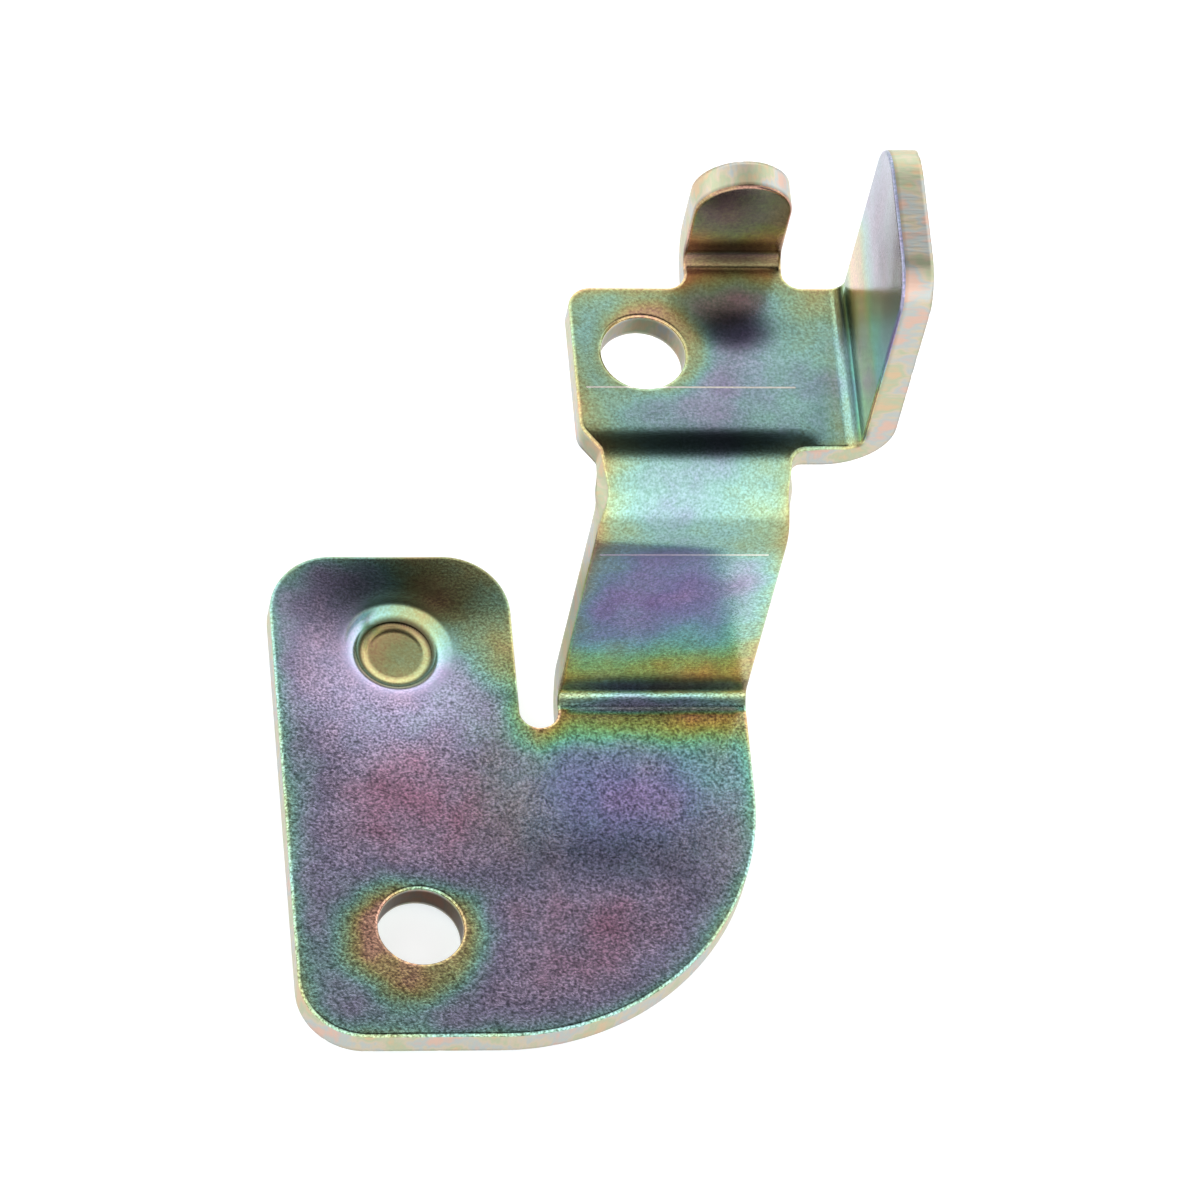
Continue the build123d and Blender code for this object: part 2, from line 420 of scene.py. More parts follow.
# %% Join the points into triangles
loop_starts = np.cumsum([0] + [len(loop) for loop in loops])
cut_edges = [
    (start + index, start + (index + 1) % len(loop))
    for start, loop in zip(loop_starts, loops) for index in range(len(loop))
]
flat = delaunay_2d_cdt([Vector(point) for point in side_points], cut_edges, [], 0, 1e-7)
triangles = np.array(flat[2])
triangles = triangles[in_sheet(side_points[triangles].mean(1))]
assert len(flat[0]) == len(side_points), "every point should be kept as it was given"
print("triangles on one side:", len(triangles))

# %% [markdown]
# ## From triangles to a solid blank
#
# The upper side is the triangles at full height, less the rolled rim and the pocket.  The lower
# side is the same triangles turned over, with the pip.  A wall of quads closes the cut edge.
#
# A bend stretches its outside thin, so two bends are rounder outside than the sheet alone would
# make them: the flange's heel and the crest.  `rounding` says how much lower that outside lies,
# and it is taken off while the blank is still flat.

# %% How much a rounder bend takes off
def rounding(place, start, inside_radius, outside_radius):
    """How much lower a bend's outside lies when it is rounder, at a place along the blank."""
    plain = SHEET + inside_radius
    offset = outside_radius - plain                         # between the two arcs' centres
    end = start + bend_length(inside_radius)
    before = np.clip(place - (start - offset), 0, offset)
    after = np.clip((end + offset) - place, 0, offset)
    angle = np.clip((place - start) / (end - start), 0, 1) * QUARTER
    lean = offset * (np.sin(angle) + np.cos(angle))
    in_bend = plain + lean - np.sqrt(lean**2 + outside_radius**2 - 2 * offset**2)
    before_bend = outside_radius - np.sqrt(outside_radius**2 - before**2)
    after_bend = outside_radius - np.sqrt(outside_radius**2 - after**2)
    return np.where(place < start, before_bend, np.where(place > end, after_bend, in_bend))


most = rounding(crest_fold_b + bend_length(CREST_INSIDE) / 2, crest_fold_b, CREST_INSIDE, CREST_RADIUS)
print("the crest's middle is", round(float(most), 2), "mm lower than a plain bend's")

# %% Heights of the two sides
HEEL_FADE = 2.0                             # the crest's rounding fades out this far before the heel

edge_mm = np.min([distance_to(side_points, loop) for loop in loops], axis=0)
edge_mm[:loop_starts[-1]] = 0
from_dimple = np.linalg.norm(side_points - dimple, axis=1)
before_heel = np.clip((heel_a - side_points[:, 0]) / HEEL_FADE, 0, 1)
roll_run = np.clip(EDGE_ROLL - edge_mm, 0, EDGE_ROLL)
top = SHEET - EDGE_ROLL + np.sqrt(EDGE_ROLL**2 - roll_run**2) - pocket_depth(from_dimple)
top -= before_heel * rounding(side_points[:, 1], crest_fold_b, CREST_INSIDE, CREST_RADIUS)
bottom = rounding(side_points[:, 0], flange_fold_a, BEND_INSIDE, HEEL_RADIUS) - pip_depth(from_dimple)
print("thinnest place:", round(float((top - bottom).min()), 2), "mm")

# %% [markdown]
# Stretching also draws the sheet's edge in at the crest.  The upper edge goes in and the lower one
# bulges out, so the cut edge leans there, and less on the right, where the shelf carries on.

# %% The edge drawn in at the crest
PINCH_IN, PINCH_OUT = 0.8, 0.25             # of the upper edge, and of the lower one
PINCH_RUN, PINCH_REACH = 2.6, 1.6           # along the edge, and into the sheet
PINCH_RIGHT = 0.5                           # on the right, as a share of the left

crest_middle_b = (crest_fold_b + shelf_b) / 2
at_crest = np.exp(-((side_points[:, 1] - crest_middle_b) / PINCH_RUN) ** 2)
from_left = np.abs(side_points[:, 0] - neck_left)
from_right = np.abs(side_points[:, 0] - right)
right_pinch = PINCH_RIGHT * before_heel * np.exp(-from_right / PINCH_REACH)
pinch = at_crest * (np.exp(-from_left / PINCH_REACH) - right_pinch)
print("the upper edge moves in by up to", round(float(pinch.max()) * PINCH_IN, 2), "mm")

# %% Build the blank's mesh
WALL_LEVELS = 7                             # rows of faces down the cut edge
side_count = len(side_points)
upper_side = side_points + np.outer(pinch, (PINCH_IN, 0))
lower_side = side_points - np.outer(pinch, (PINCH_OUT, 0))
points = [np.column_stack([upper_side, top]), np.column_stack([lower_side, bottom])]
faces = [triangles, triangles[:, ::-1] + side_count]
quads = []
for start, loop in zip(loop_starts, loops):
    ring = np.arange(start, start + len(loop))
    upper = ring
    for level in range(1, WALL_LEVELS + 1):
        if level == WALL_LEVELS:
            lower = ring + side_count
        else:
            share = level / WALL_LEVELS
            lower = np.arange(len(loop)) + sum(len(block) for block in points)
            points.append(points[0][ring] * (1 - share) + points[1][ring] * share)
        quads.append(np.stack([upper, lower, np.roll(lower, -1), np.roll(upper, -1)], 1))
        upper = lower
blank_points = np.concatenate(points)
mesh = bpy.data.meshes.new("blank")
mesh.from_pydata((blank_points * MM).tolist(), [],
                 np.concatenate(faces).tolist() + np.concatenate(quads).tolist())
mesh.update()
mesh.validate()
blank = bpy.data.objects.new("blank", mesh)
bpy.context.scene.collection.objects.link(blank)
print("blank:", len(mesh.vertices), "points,", len(mesh.polygons), "faces")

# %% [markdown]
# ## What the finish needs to know
#
# The chromate film is thin where the bath runs off first: at the cut edges, the hole rims and the
# folds.  It is thickest in the middle of the flats.  Only here, while the sheet is still flat, are
# the distances along its surface simple.  So the film is worked out now as one number for each
# point, and so are three more: the painted shade, how grainy the zinc is, and how near the rim is.
# They all stay with the point through the folding.

# %% Film thickness, from 0 for the thinnest to 1
RIM_FILM, FULL_FILM = 0.3, 0.72             # at a cut edge, and far from one
EDGE_SPREAD = 1.6                           # how fast the film recovers away from an edge, in mm

places = blank_points[:, :2]
from_axis = np.linalg.norm(places - dimple, axis=1)
film = FULL_FILM - (FULL_FILM - RIM_FILM) * np.exp(-distance_to(places, outline) / EDGE_SPREAD)
print("film before the spots:", round(float(film.min()), 2), "to", round(float(film.max()), 2))

# %% [markdown]
# The bath also leaves drips and pools.  Each one is a round spot that fades out, and is one line
# here.  A spot at a hole starts from the hole's rim.

# %% Spots where the film drained thin, and where it pooled thick
THIN_SPOTS = [                              # (centre, radius of a hole there, spread, how thin)
    (main_hole + (-0.9, -1.8), main_radius, 3.2, 0.95),
    (shelf_hole + (0.9, 0.5), shelf_radius, 1.7, 0.75),
    (dimple + (5.0, 6.0), 0.0, 6.5, 0.85),  # the ear's far corner
    (np.array([slot_left + 0.5, 30.0]), 0.0, 4.5, 0.6),     # the ear's edge at the slot
    (np.array([slot_left + 1.5, foot_fold_b - 2.0]), 0.0, 3.2, 0.45),   # the end of the slot
    (np.array([26.7, 20.6]), 0.0, 4.0, 0.2),                # the foot, before the neck
    (np.array([38.5, 81.0]), 0.0, 5.0, 0.5),                # the shelf's corner at the flange
]
THICK_SPOTS = [                             # (centre, spread, how much is added)
    (np.array([-0.5, 14.5]), 5.0, 0.2),     # left of the foot's middle
    (np.array([21.0, -1.7]), 4.5, 0.12),    # the belly
    (np.array([26.5, 46.5]), 4.0, 0.17),    # the neck
    (np.array([24.6, 71.5]), 5.0, 0.2),     # the shelf
]

for centre, hole, spread, thin in THIN_SPOTS:
    beyond_rim = np.clip(np.linalg.norm(places - centre, axis=1) - hole, 0, None)
    film *= 1 - thin * np.exp(-((beyond_rim / spread) ** 2))
for centre, spread, extra in THICK_SPOTS:
    film += extra * np.exp(-((np.linalg.norm(places - centre, axis=1) / spread) ** 2))
print("spots:", len(THIN_SPOTS), "thin and", len(THICK_SPOTS), "thick")

# %% [markdown]
# Along the folded strip the film thins and thickens as it passes the folds, and it is thin in
# the pocket, where the bath ran off the burnished steel.  Each such change is a curve through a
# few places, which `np.interp` reads.

# %% How the film changes in the dimple, along the strip and up the flange
DIMPLE_FILM = ([0.0, 3.5, 4.2, 5.2], [0.28, 0.25, 0.9, 1.0])    # (places in mm, shares of the film)
STRIP_FILM = ([foot_fold_b, neck_b, 34.3, 39.0, 44.0, 50.0, 56.0, tab_fold_b - 3, tab_fold_b],
              [1.0, 0.35, 0.3, 0.7, 0.84, 0.82, 0.52, 0.76, 0.1])
FLANGE_FILM = ([0.0, 3.0, 8.0, 11.0, 15.0], [0.3, 0.12, 0.1, 0.42, 0.62])   # the film itself
FOLD_SPREAD, FOLD_THIN = 3.1, 0.85          # on the foot, before its fold
LEAST_BELOW = 0.27                          # the lower side drains evenly, so it's never thinner

film *= np.interp(from_axis, *DIMPLE_FILM)
on_strip = places[:, 0] > (slot_left + shelf_left) / 2
film *= np.where(on_strip, np.interp(places[:, 1], *STRIP_FILM), 1)
from_fold = foot_fold_b - places[:, 1]
film *= 1 - FOLD_THIN * (on_strip & (from_fold > 0)) * np.exp(-((from_fold / FOLD_SPREAD) ** 2))
up_flange = places[:, 0] - flange_flat_a
film = np.where(up_flange > 0, np.interp(up_flange, *FLANGE_FILM), film)
film[side_count:2 * side_count] = np.maximum(film[side_count:2 * side_count], LEAST_BELOW)
print("film runs from", round(float(film.min()), 2), "to", round(float(film.max()), 2))

# %% [markdown]
# Shade and dark reflections are painted into the colour here: in the folds, before the tab, and
# on the walls of the holes.  Weaker painted shade lies behind the dimple, at the top of the neck
# and on the flange.  The places are ellipses with a flat middle and a soft edge, which take one
# line each.  A thin gap is left between two of them, where the fold's own highlight shows.

# %% Where shade is painted on
PAINTED_SHADE_SPOTS = [                              # (centre, half sizes, how much shade is painted)
    (dimple + (1.5, 7.2), (13.0, 4.2), 0.6),                    # the ear, behind the dimple
    (np.array([25.0, neck_b + 0.7]), (12.5, 2.1), 0.95),        # above the foot fold's bright line
    (np.array([25.0, foot_fold_b + 1.75]), (14.0, 1.15), 0.9),  # and below it
    (np.array([25.0, 57.0]), (14.0, 4.0), 0.4),                 # the top of the neck
    (np.array([26.0, shelf_b + 1.9]), (9.5, 1.7), 0.75),        # the far side of the crest
    (np.array([29.6, 78.8]), (4.0, 2.7), 0.93),                 # the corner before the tab
    (np.array([30.1, tab_fold_b + 0.1]), (7.0, 0.6), 0.7),      # between the tab fold's bright lines
    (np.array([30.1, tab_fold_b + 3.9]), (7.0, 3.3), 1.0),      # the foot of the tab
    (np.array([30.1, tab_fold_b + 11.0]), (7.0, 6.5), 0.6),     # and the rest of it
    (np.array([flange_fold_a + 2.6, 74.0]), (0.9, 13.0), 0.8),  # along the flange's fold
    (np.array([flange_flat_a + 0.8, 74.0]), (1.4, 12.0), 0.7),
    (np.array([flange_flat_a + 18.0, 76.0]), (14.0, 14.0), 0.42),   # the flange's upper part
]
RING_RADIUS, RING_HALF, RING_SHADE = 3.7, 0.4, 0.85              # painted shade in the dimple's step
POCKET_FADE = 1.5                           # how far from the mouth the painted shade sets in again
# painted shade on the walls of the main hole and of the shelf's hole
MAIN_WALL_SHADE, SHELF_WALL_SHADE = 0.95, 0.45

# how much shade is painted at each point, from 0 to 1
dull = np.zeros(len(places))
for centre, halves, amount in PAINTED_SHADE_SPOTS:
    dull = np.maximum(dull, amount * np.exp(-(((places - centre) / halves) ** 2).sum(1) ** 2))
dull *= np.clip((from_axis - DIMPLE_MOUTH) / POCKET_FADE, 0, 1)     # no painted shade in the pocket
dull = np.maximum(dull, RING_SHADE * np.exp(-(((from_axis - RING_RADIUS) / RING_HALF) ** 4)))

walls = 2 * side_count + len(outline) * (WALL_LEVELS - 1)       # where the holes' walls start
dull[side_count:walls] = 0                                      # painted shade goes only on the upper side, where its recesses are
# the holes' walls get painted shade
at_main_hole = places[walls:, 1] < foot_fold_b
dull[walls:] = np.where(at_main_hole, MAIN_WALL_SHADE, SHELF_WALL_SHADE)
print("dull spots:", len(PAINTED_SHADE_SPOTS), "and the average dullness", round(float(dull.mean()), 3))

# %% [markdown]
# Zinc grows in crystals, coarsest on the foot, and the dimple's punch flattened them.  Near the
# rolled rim, bright flecks are painted on later as glints.  The cut faces are marked too, because
# they were sheared and not rolled, and `blank_mm` keeps each point's place on the flat blank for
# the patterns.

# %% How grainy the plating is, and where the rim is
GRAIN_ALONG = ([foot_fold_b, neck_b + 4, 62.0], [1.0, 0.65, 0.45])
GRAIN_PRESSED = ([DIMPLE_MOUTH, DIMPLE_MOUTH + 0.8], [0.3, 1.0])
RIM_SPREAD = 0.22                           # how far the painted glints reach from the rim, in mm

graininess = np.interp(places[:, 1], *GRAIN_ALONG) * np.interp(from_axis, *GRAIN_PRESSED)
across = np.min([distance_to(places, loop) for loop in loops], axis=0)
down = np.clip(np.minimum(SHEET - blank_points[:, 2], blank_points[:, 2]), 0, None)
# how near the cut rim is, which places the painted glints
rim = np.exp(-np.hypot(across, down) / RIM_SPREAD)
print("grain from", round(float(graininess.min()), 2), "to", round(float(graininess.max()), 2))

# %% Store it on the points
on_cut = np.zeros(len(mesh.polygons), np.float32)
on_cut[-sum(len(block) for block in quads):] = 1
mesh.attributes.new("on_cut", "FLOAT", "FACE").data.foreach_set("value", on_cut)
mesh.attributes.new("blank_mm", "FLOAT_VECTOR", "POINT").data.foreach_set(
    "vector", blank_points.astype(np.float32).ravel())
# the film, the painted shade, the graininess and the nearness to the rim
for name, values in (("film", film), ("dull", dull), ("graininess", graininess), ("rim", rim)):
    mesh.attributes.new(name, "FLOAT", "POINT").data.foreach_set("value", values.astype(np.float32))
print("stored:", ", ".join(item.name for item in mesh.attributes if not item.name.startswith(".")))

# %% [markdown]
# ## The press brake
#
# Every fold follows one rule.  A point that is before the fold line stays.  A point within the
# bend turns about the bend's axis, and one past it turns the whole quarter and is carried on
# straight.  So one Geometry Nodes group does a fold, with the line, the radius and the direction
# as its inputs, and the press's tree uses it four times: tab, flange, crest and foot, the
# outermost first, so that each later fold carries the earlier ones round with it.

# %% Helpers that add a node and start a group
def add_node(tree, kind, inputs=(), output=0, **settings):
    """Adds a node with its settings, fills its inputs (None skips one), and gives an output."""
    node = tree.nodes.new(kind)
    for name, value in settings.items():
        setattr(node, name, value)
    pairs = inputs.items() if isinstance(inputs, dict) else enumerate(inputs)
    for key, value in pairs:
        if isinstance(value, bpy.types.NodeSocket):
            tree.links.new(value, node.inputs[key])
        elif value is not None:
            node.inputs[key].default_value = value
    return node.outputs[output] if node.outputs else node


def new_group(name, inputs):
    """A Geometry Nodes group with a geometry in and out and these (name, kind) inputs."""
    tree = bpy.data.node_groups.new(name, "GeometryNodeTree")
    tree.interface.new_socket("Geometry", in_out="INPUT", socket_type="NodeSocketGeometry")
    for label, kind in inputs:
        tree.interface.new_socket(label, in_out="INPUT", socket_type="NodeSocket" + kind)
    tree.interface.new_socket("Geometry", in_out="OUTPUT", socket_type="NodeSocketGeometry")
    return tree, tree.nodes.new("NodeGroupInput").outputs


MATH, VECTOR, SPLIT = "ShaderNodeMath", "ShaderNodeVectorMath", "ShaderNodeSeparateXYZ"
fold, given = new_group("fold the sheet", [
    ("Sheet", "Float"), ("Line", "Float"), ("Inside Radius", "Float"),
    ("Turn", "Float"), ("Along", "Vector"), ("Beyond", "Float"),
])
print("fold inputs:", ", ".join(item.name for item in fold.interface.items_tree if item.in_out == "INPUT"))

# %% [markdown]
# First the group measures.  It needs the bend's length on the blank and the radius at which the
# blank's lower side goes around.  From each point's place it finds how far past the line the
# point is, the angle that it turns through, and the run that is left over.

# %% Measure each point against the fold line
middle = add_node(fold, MATH, [given["Sheet"], 0.5, given["Inside Radius"]], operation="MULTIPLY_ADD")
length = add_node(fold, MATH, [middle, QUARTER], operation="MULTIPLY")
upwards = add_node(fold, MATH, [given["Turn"], 0.0], operation="GREATER_THAN")
lower = add_node(fold, MATH, [upwards, given["Sheet"], given["Inside Radius"]], operation="MULTIPLY_ADD")

place = add_node(fold, "GeometryNodeInputPosition")
reach = add_node(fold, VECTOR, [place, given["Along"]], "Value", operation="DOT_PRODUCT")
past = add_node(fold, MATH, [reach, given["Line"]], operation="SUBTRACT")
share = add_node(fold, MATH, [past, length], operation="DIVIDE", use_clamp=True)
angle = add_node(fold, MATH, [share, QUARTER], operation="MULTIPLY")
sine = add_node(fold, MATH, [angle], operation="SINE")
cosine = add_node(fold, MATH, [angle], operation="COSINE")
before = add_node(fold, MATH, [past, 0.0], operation="MINIMUM")
over = add_node(fold, MATH, [past, length], operation="SUBTRACT")
rest = add_node(fold, MATH, [over, 0.0], operation="MAXIMUM")

print("nodes that measure:", len(fold.nodes))

# %% [markdown]
# Then it moves.  A point's own radius follows from its height in the sheet.  Sine and cosine of
# the angle give where it comes to lie along the sheet and above it, and the difference from where
# it was is the move.  `Beyond` keeps the ear out of it, because only the strip to its right folds.

# %% Move each point around the bend
height = add_node(fold, SPLIT, [place], "Z")
lift = add_node(fold, MATH, [height, given["Turn"]], operation="MULTIPLY")
radius = add_node(fold, MATH, [lower, lift], operation="SUBTRACT")
around = add_node(fold, MATH, [radius, sine, before], operation="MULTIPLY_ADD")
along = add_node(fold, MATH, [rest, cosine, around], operation="MULTIPLY_ADD")
drop = add_node(fold, MATH, [radius, cosine], operation="MULTIPLY")
above = add_node(fold, MATH, [lower, drop], operation="SUBTRACT")
rise = add_node(fold, MATH, [rest, sine, above], operation="MULTIPLY_ADD")

go_along = add_node(fold, MATH, [along, past], operation="SUBTRACT")
new_height = add_node(fold, MATH, [rise, given["Turn"]], operation="MULTIPLY")
go_up = add_node(fold, MATH, [new_height, height], operation="SUBTRACT")
level = add_node(fold, VECTOR, {0: given["Along"], "Scale": go_along}, operation="SCALE")
upright = add_node(fold, "ShaderNodeCombineXYZ", [None, None, go_up])
move = add_node(fold, VECTOR, [level, upright], operation="ADD")
right_of = add_node(fold, SPLIT, [place], "X")
chosen = add_node(fold, "FunctionNodeCompare", [right_of, given["Beyond"]], operation="GREATER_THAN")
moved = add_node(fold, "GeometryNodeSetPosition",
                 {"Geometry": given["Geometry"], "Selection": chosen, "Offset": move})
add_node(fold, "NodeGroupOutput", [moved])
print("fold group:", len(fold.nodes), "nodes")

# %% [markdown]
# The press's own tree strings four of those groups together, one for each fold.  Every fold's
# line and radius are named inputs, so a fold can be moved in the modifier's panel.  The tree
# ends by shading the sheet smooth and giving it its material.

# %% The press's tree: four folds, one after another
FOLDS = {
    # the line on the blank, the inside radius, up (1) or down (-1), and the way the sheet runs
    "Tab": (tab_fold_b, BEND_INSIDE, 1, (0, 1, 0)),
    "Flange": (flange_fold_a, BEND_INSIDE, 1, (1, 0, 0)),
    "Crest": (crest_fold_b, CREST_INSIDE, -1, (0, 1, 0)),
    "Foot": (foot_fold_b, BEND_INSIDE, 1, (0, 1, 0)),
}
plated = bpy.data.materials.new("zinc_plate_chromate_film")

press, given = new_group("press brake", [
    (name + part, "Float") for name in FOLDS for part in (" Line", " Radius")
] + [("Sheet", "Float"), ("Right Of", "Float")])
shape = given["Geometry"]
for name, (line, inside_radius, turn, run) in FOLDS.items():
    shape = add_node(press, "GeometryNodeGroup", {
        "Geometry": shape, "Sheet": given["Sheet"], "Line": given[name + " Line"],
        "Inside Radius": given[name + " Radius"], "Turn": turn, "Along": run,
        "Beyond": given["Right Of"],
    }, node_tree=fold)
smooth = add_node(press, "GeometryNodeSetShadeSmooth", [shape])
real = add_node(press, "GeometryNodeRealizeInstances", [smooth])
finished = add_node(press, "GeometryNodeSetMaterial", {"Geometry": real, "Material": plated})
add_node(press, "NodeGroupOutput", [finished])
print("folds:", ", ".join(FOLDS))

# %% [markdown]
# A modifier keeps each input under its identifier, not its name, so the sizes are matched by
# name first.  Then the folded result is kept as a plain mesh, and the modifier and the flat
# blank go.  The bracket is now one piece that stands in for the measured solid.

# %% Set the press up on the blank
settings = {"Sheet": SHEET, "Right Of": (slot_left + shelf_left) / 2}     # the ear is left flat
for name, (line, inside_radius, turn, run) in FOLDS.items():
    settings[name + " Line"] = line
    settings[name + " Radius"] = inside_radius
modifier = blank.modifiers.new("press", "NODES")
modifier.node_group = press
for item in press.interface.items_tree:
    if item.name in settings and item.in_out == "INPUT":
        modifier[item.identifier] = float(settings[item.name] * MM)
print("set:", ", ".join(settings))

# %% Fold it, and keep the result as a plain mesh
graph = bpy.context.evaluated_depsgraph_get()
folded = bpy.data.meshes.new_from_object(
    blank.evaluated_get(graph), preserve_all_data_layers=True, depsgraph=graph)
blank.modifiers.remove(modifier)
body = bpy.data.objects.new("plated_bracket", folded)
bpy.context.scene.collection.objects.link(body)
bpy.data.objects.remove(blank)

spread = np.array([vertex.co for vertex in folded.vertices]) / MM
print("folded from", np.round(spread.min(0), 2), "to", np.round(spread.max(0), 2), "mm")
print("the solid is", np.round(low, 2), "to", np.round(high, 2), "mm")

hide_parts("bracket")
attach(body, "root")

# %% [markdown]
# ## The finish: bright zinc under a chromate film
#
# The real finish is about 8 micrometres of electroplated zinc, with a chromate film under one
# micrometre thick.  Light that bounces off the top and the bottom of such a film adds up or
# cancels by colour, so its colour tells its thickness: tan and gold where it is thin, then
# green, teal, blue and purple, and magenta where it is thickest.  A thin-film shader would
# shift with the view, so the colours are a ramp over the stored thickness, and the metal below
# gives the gloss.

# %% Colours of the film, from thin to thick, and of the cut edge
def linear(hex_colour):
    """An sRGB hex colour as the linear colour that Blender's sockets take."""
    channels = [int(hex_colour[start:start + 2], 16) / 255 for start in (1, 3, 5)]
    return [c / 12.92 if c <= 0.04045 else ((c + 0.055) / 1.055) ** 2.4 for c in channels] + [1.0]


FILM_COLOURS = {
    0.00: "#dcaa94",                        # pinkish tan, where it is thinnest
    0.08: "#d0b382",                        # gold
    0.18: "#b9bb85",                        # olive
    0.30: "#a6c6a2",                        # green
    0.42: "#9ccac0",                        # mint
    0.52: "#9fb8c4",                        # teal blue
    0.60: "#aab0c6",                        # blue grey
    0.68: "#a49ebc",                        # blue purple
    0.78: "#b9a6c2",                        # purple
    0.90: "#bd97b2",                        # mauve
    1.00: "#b6829c",                        # magenta
}
CUT_COLOURS = {
    0.36: "#c2ab8c",                        # tan
    0.44: "#a8b094",                        # pale green
    0.50: "#beb19c",                        # grey straw
    0.56: "#a8b0ae",                        # cold grey
    0.64: "#c5a899",                        # pinkish
}
SHADE_FACE, SHADE_WALL = "#464653", "#5c4026"     # painted shade: blue grey in a recess, and brown in a hole
BARE_AND_GLINT = "#ece6dc"                            # bright zinc where the film is rubbed off, also used for the painted glints


def fill(colour, colours):
    """Gives the colour ramp behind this output these colours at these places."""
    stops = colour.node.color_ramp.elements
    stops[0].position, stops[1].position = min(colours), max(colours)
    for position, hex_colour in colours.items():
        ends = [stop for stop in (stops[0], stops[-1]) if abs(stop.position - position) < 1e-4]
        stop = ends[0] if ends else stops.new(position)
        stop.color = linear(hex_colour)


print("film colours:", len(FILM_COLOURS), "and cut edge colours:", len(CUT_COLOURS))

# %% [markdown]
# No plated sheet is even.  Noise of four sizes is laid over the flat blank: clouds and patches
# where the bath ran, the crystals' grain, and the slow waves that rolling leaves in the steel.
# All of it reads `blank_mm`, so it bends with the sheet like the real thing.

# %% Read the stored numbers, and lay noise over the blank
CLOUD_MM, PATCH_MM, GRAIN_MM, WAVE_MM = 11.0, 4.0, 0.24, 9.0    # crystals are finer, but must show
ATTRIBUTE, NOISE, MIX = "ShaderNodeAttribute", "ShaderNodeTexNoise", "ShaderNodeMix"
MAP_RANGE, BUMP, RAMP = "ShaderNodeMapRange", "ShaderNodeBump", "ShaderNodeValToRGB"

plated.use_nodes = True
tree = plated.node_tree
tree.nodes.clear()
# the stored numbers, the painted shade among them
film_here, shade_here, grain_here, rim_here, cut_here = (
    add_node(tree, ATTRIBUTE, output="Fac", attribute_name=name)
    for name in ("film", "dull", "graininess", "rim", "on_cut")
)
blank_mm = add_node(tree, ATTRIBUTE, output="Vector", attribute_name="blank_mm")
clouds, patches, grain, waves = (
    add_node(tree, NOISE, {"Vector": blank_mm, "Scale": 1 / size, "Detail": detail})
    for size, detail in ((CLOUD_MM, 2.0), (PATCH_MM, 3.0), (GRAIN_MM, 2.0), (WAVE_MM, 1.0))
)
print("noise of", CLOUD_MM, PATCH_MM, GRAIN_MM, "and", WAVE_MM, "mm")

# %% The film's colour, made uneven by the clouds, the patches and the grain
CLOUD_FILM, PATCH_FILM, GRAIN_FILM = 0.45, 0.35, 0.15

cloud_film = add_node(tree, MATH, [clouds, CLOUD_FILM, film_here], operation="MULTIPLY_ADD")
patch_film = add_node(tree, MATH, [patches, PATCH_FILM, cloud_film], operation="MULTIPLY_ADD")
grain_film = add_node(tree, MATH, [grain, GRAIN_FILM, patch_film], operation="MULTIPLY_ADD")
noise_middle = (CLOUD_FILM + PATCH_FILM + GRAIN_FILM) / 2
film_now = add_node(tree, MATH, [grain_film, noise_middle], operation="SUBTRACT")
film_colour = add_node(tree, RAMP, [film_now])
fill(film_colour, FILM_COLOURS)
print("the noise moves the film by up to", round(noise_middle, 3))

# %% [markdown]
# The cut edge was sheared by the punch, which drags fine streaks down it, and it is rougher, so
# its film has no clear colours: only soft tan, green and grey patches.

# %% The cut edge's colour
STREAKS_PER_MM = (2.2, 2.2, 0.35)           # close together along the edge, and long down it
STREAK_SHARE = 0.18                         # the rest of the colour change comes from the patches
FACTOR, FIRST, SECOND, MIXED = 0, 6, 7, 2   # a Mix node's colour sockets, as their names repeat

streak_mm = add_node(tree, VECTOR, [blank_mm, STREAKS_PER_MM], operation="MULTIPLY")
streaks = add_node(tree, NOISE, {"Vector": streak_mm, "Scale": 1.0, "Detail": 2.0})
patch_part = add_node(tree, MATH, [patches, 1 - STREAK_SHARE], operation="MULTIPLY")
cut_mix = add_node(tree, MATH, [streaks, STREAK_SHARE, patch_part], operation="MULTIPLY_ADD")
cut_colour = add_node(tree, RAMP, [cut_mix])
fill(cut_colour, CUT_COLOURS)
plain_colour = add_node(tree, MIX, {FACTOR: cut_here, FIRST: film_colour, SECOND: cut_colour}, MIXED,
                        data_type="RGBA")
print("streaks about", round(1 / STREAKS_PER_MM[0], 2), "mm apart")

# %% [markdown]
# Each crystal of zinc faces its own way, so some look lighter and some darker than their
# neighbours.  That is a swing about the plain colour, as strong as the stored graininess.  Then
# painted shade multiplies the recesses by a grey, and the holes' walls by a brown.

# %% The grain's crystals, and the painted shade in the recesses
DARKEST, LIGHTEST = -0.72, 0.5              # what a crystal takes from the colour, or adds
NOISE_LOW, NOISE_HIGH = 0.3, 0.7            # noise seldom goes past these

on_face = add_node(tree, MATH, [1.0, cut_here], operation="SUBTRACT")
grainy = add_node(tree, MATH, [grain_here, on_face], operation="MULTIPLY")
swing = add_node(tree, MAP_RANGE, {"Value": grain, "From Min": NOISE_LOW, "From Max": NOISE_HIGH,
                                   "To Min": DARKEST, "To Max": LIGHTEST})
speck = add_node(tree, MATH, [swing, grainy, 1.0], operation="MULTIPLY_ADD")
grained = add_node(tree, VECTOR, {0: plain_colour, "Scale": speck}, operation="SCALE")
# painted shade: a blue grey on the faces and a brown on the cut walls, multiplied in
shade_colours = {FACTOR: cut_here, FIRST: linear(SHADE_FACE), SECOND: linear(SHADE_WALL)}
shade_colour = add_node(tree, MIX, shade_colours, MIXED, data_type="RGBA")
film_with_shade = add_node(tree, MIX, {FACTOR: shade_here, FIRST: grained, SECOND: shade_colour}, MIXED,
                  data_type="RGBA", blend_type="MULTIPLY")
print("grain changes the colour by", DARKEST, "to", LIGHTEST)

